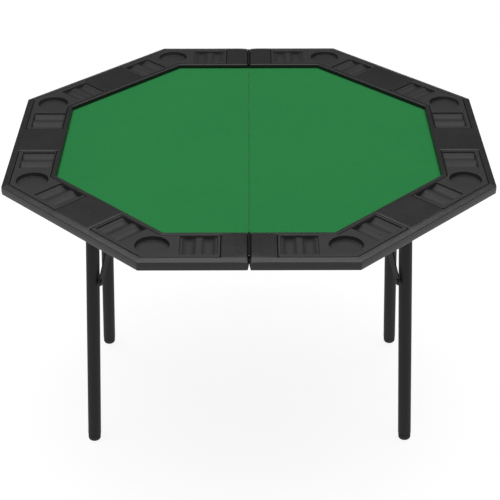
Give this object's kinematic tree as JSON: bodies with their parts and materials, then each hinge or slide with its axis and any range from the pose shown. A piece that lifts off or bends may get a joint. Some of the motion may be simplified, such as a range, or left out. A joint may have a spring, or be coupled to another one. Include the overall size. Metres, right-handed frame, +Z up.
{
  "type": "folding poker table",
  "caption": "Octagonal folding card table with a green felt top, padded rail, corner trays with cup and chip wells, a seam that folds and legs with hooked braces.",
  "frame": {"origin": "on the floor under the middle of the top", "axes": "+Z up, the folding seam along Y, +X the half that folds over"},
  "size_m": [1.22, 1.22, 0.8031],
  "materials": {
    "board": "black painted fibreboard",
    "felt": "green speed felt on foam",
    "rail_vinyl": "fine-grained charcoal vinyl over foam",
    "tray_plastic": "satin, lightly textured",
    "black_steel": "black powder coat",
    "zinc": "zinc plated",
    "rubber": "matt"
  },
  "bodies": {
    "left_half": {"left_board": "board", "left_felt": "felt", "rail_front_left": "rail_vinyl", "rail_left_front": "rail_vinyl", "rail_left": "rail_vinyl", "rail_left_back": "rail_vinyl", "rail_back_left": "rail_vinyl", "tray_left_1": "tray_plastic", "tray_left_2": "tray_plastic", "tray_left_3": "tray_plastic", "tray_left_4": "tray_plastic", "hinge_leaf_front_left": "black_steel", "leg_bracket_front_left": "black_steel", "leg_rivet_front_left": "zinc", "brace_mount_front_left": "black_steel", "hinge_pin_front": "zinc", "bolt_housing_front": "black_steel", "hinge_leaf_back_left": "black_steel", "leg_bracket_back_left": "black_steel", "leg_rivet_back_left": "zinc", "brace_mount_back_left": "black_steel", "hinge_pin_back": "zinc", "bolt_housing_back": "black_steel"},
    "right_half": {"right_board": "board", "right_felt": "felt", "rail_front_right": "rail_vinyl", "rail_right_front": "rail_vinyl", "rail_right": "rail_vinyl", "rail_right_back": "rail_vinyl", "rail_back_right": "rail_vinyl", "tray_right_1": "tray_plastic", "tray_right_2": "tray_plastic", "tray_right_3": "tray_plastic", "tray_right_4": "tray_plastic", "hinge_leaf_front_right": "black_steel", "leg_bracket_front_right": "black_steel", "leg_rivet_front_right": "zinc", "brace_mount_front_right": "black_steel", "bolt_keeper_front": "black_steel", "hinge_leaf_back_right": "black_steel", "leg_bracket_back_right": "black_steel", "leg_rivet_back_right": "zinc", "brace_mount_back_right": "black_steel", "bolt_keeper_back": "black_steel"},
    "leg_front_left": {"leg_tube_front_left": "black_steel", "leg_tip_front_left": "rubber"},
    "brace_front_left": {"brace_front_left": "black_steel"},
    "leg_back_left": {"leg_tube_back_left": "black_steel", "leg_tip_back_left": "rubber"},
    "brace_back_left": {"brace_back_left": "black_steel"},
    "leg_front_right": {"leg_tube_front_right": "black_steel", "leg_tip_front_right": "rubber"},
    "brace_front_right": {"brace_front_right": "black_steel"},
    "leg_back_right": {"leg_tube_back_right": "black_steel", "leg_tip_back_right": "rubber"},
    "brace_back_right": {"brace_back_right": "black_steel"},
    "bolt_front": {"bolt_front": "zinc"},
    "bolt_back": {"bolt_back": "zinc"}
  },
  "joints": [
    {"name": "seam_fold", "type": "hinge", "parent": "left_half", "child": "right_half", "pos_m": [0, 0, 0.8003], "axis": [0, -1, 0], "range_deg": [0, 180]},
    {"name": "leg_fold_front_left", "type": "hinge", "parent": "left_half", "child": "leg_front_left", "pos_m": [-0.395, -0.177, 0.752], "axis": [0.8829, -0.4695, 0], "range_deg": [0, 95]},
    {"name": "brace_swing_front_left", "type": "hinge", "parent": "left_half", "child": "brace_front_left", "pos_m": [-0.33271, -0.05985, 0.753], "axis": [-0.8829, 0.4695, 0], "range_deg": [0, 59.2]},
    {"name": "leg_fold_back_left", "type": "hinge", "parent": "left_half", "child": "leg_back_left", "pos_m": [-0.395, 0.177, 0.714], "axis": [-0.8829, -0.4695, 0], "range_deg": [0, 95]},
    {"name": "brace_swing_back_left", "type": "hinge", "parent": "left_half", "child": "brace_back_left", "pos_m": [-0.33115, 0.05692, 0.753], "axis": [0.8829, 0.4695, 0], "range_deg": [0, 59.2]},
    {"name": "leg_fold_front_right", "type": "hinge", "parent": "right_half", "child": "leg_front_right", "pos_m": [0.395, -0.177, 0.752], "axis": [0.8829, 0.4695, 0], "range_deg": [0, 95]},
    {"name": "brace_swing_front_right", "type": "hinge", "parent": "right_half", "child": "brace_front_right", "pos_m": [0.33271, -0.05985, 0.753], "axis": [-0.8829, -0.4695, 0], "range_deg": [0, 59.2]},
    {"name": "leg_fold_back_right", "type": "hinge", "parent": "right_half", "child": "leg_back_right", "pos_m": [0.395, 0.177, 0.714], "axis": [-0.8829, 0.4695, 0], "range_deg": [0, 95]},
    {"name": "brace_swing_back_right", "type": "hinge", "parent": "right_half", "child": "brace_back_right", "pos_m": [0.33115, 0.05692, 0.753], "axis": [0.8829, -0.4695, 0], "range_deg": [0, 59.2]},
    {"name": "bolt_slide_front", "type": "slide", "parent": "left_half", "child": "bolt_front", "axis": [1, 0, 0], "range_m": [0, 0.022]},
    {"name": "bolt_slide_back", "type": "slide", "parent": "left_half", "child": "bolt_back", "axis": [1, 0, 0], "range_m": [0, 0.022]}
  ]
}
